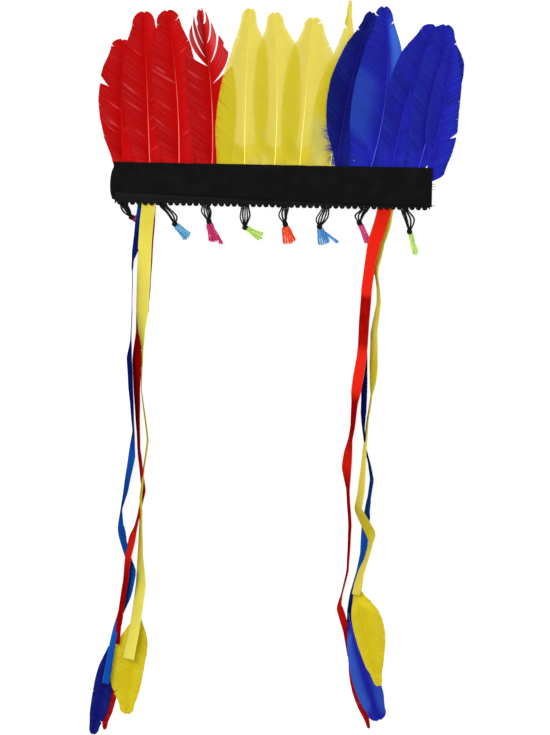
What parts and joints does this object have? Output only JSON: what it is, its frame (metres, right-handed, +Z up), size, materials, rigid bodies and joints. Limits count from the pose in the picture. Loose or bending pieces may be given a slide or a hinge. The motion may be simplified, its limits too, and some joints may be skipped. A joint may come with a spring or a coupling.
{
  "type": "feathered headdress",
  "caption": "Feathered headdress: dyed feathers stand up from an elastic head band under cloth, with a scalloped tasselled braid and satin ribbons that end in small feathers.",
  "frame": {"origin": "on the surface it lies on, under the middle of the head loop", "axes": "+X along the band, to the right in the front view; +Y towards the tips of the crown feathers; +Z up, out of the face of the band"},
  "size_m": [0.3278, 0.6653, 0.0153],
  "materials": {
    "elastic": "matt ribbed woven elastic",
    "cover_cloth": "matt black cloth tape",
    "braid": "black picot braid with a slight thread sheen",
    "feather_red": "dyed goose feather, soft sheen along the barbs",
    "feather_yellow": "dyed goose feather, thin enough to let colour through",
    "feather_blue": "dyed goose feather, soft sheen along the barbs",
    "satin_red": "polyester satin ribbon, glossy across the weave",
    "satin_yellow": "polyester satin ribbon, glossy across the weave",
    "satin_blue": "polyester satin ribbon, glossy across the weave",
    "tassel_thread": "black twisted thread",
    "tuft_red": "cut embroidery thread",
    "tuft_light_blue": "cut embroidery thread",
    "tuft_magenta": "cut embroidery thread",
    "tuft_lime": "cut embroidery thread",
    "tuft_orange": "cut embroidery thread",
    "tuft_blue": "cut embroidery thread",
    "tuft_pink": "cut embroidery thread",
    "tuft_pale_lime": "cut embroidery thread"
  },
  "bodies": {
    "root": {"head_loop": "elastic", "cover_band": "cover_cloth", "tassel_braid": "braid", "feather_red_1": "feather_red", "feather_red_2": "feather_red", "feather_red_3": "feather_red", "feather_red_4": "feather_red", "feather_yellow_1": "feather_yellow", "feather_yellow_2": "feather_yellow", "feather_yellow_3": "feather_yellow", "feather_yellow_4": "feather_yellow", "feather_blue_1": "feather_blue", "feather_blue_2": "feather_blue", "feather_blue_3": "feather_blue", "feather_blue_4": "feather_blue", "feather_blue_5": "feather_blue", "ribbon_left_yellow": "satin_yellow", "ribbon_left_red": "satin_red", "ribbon_left_blue": "satin_blue", "ribbon_right_yellow": "satin_yellow", "ribbon_right_red": "satin_red", "ribbon_right_blue": "satin_blue", "ribbon_feather_left_red": "feather_red", "ribbon_feather_left_blue": "feather_blue", "ribbon_feather_left_yellow": "feather_yellow", "ribbon_feather_right_red": "feather_red", "ribbon_feather_right_blue": "feather_blue", "ribbon_feather_right_yellow": "feather_yellow", "tassel_cord_1": "tassel_thread", "tassel_tuft_1": "tuft_red", "tassel_cord_2": "tassel_thread", "tassel_tuft_2": "tuft_light_blue", "tassel_cord_3": "tassel_thread", "tassel_tuft_3": "tuft_magenta", "tassel_cord_4": "tassel_thread", "tassel_tuft_4": "tuft_lime", "tassel_cord_5": "tassel_thread", "tassel_tuft_5": "tuft_orange", "tassel_cord_6": "tassel_thread", "tassel_tuft_6": "tuft_blue", "tassel_cord_7": "tassel_thread", "tassel_tuft_7": "tuft_pink", "tassel_cord_8": "tassel_thread", "tassel_tuft_8": "tuft_pale_lime"}
  },
  "joints": []
}
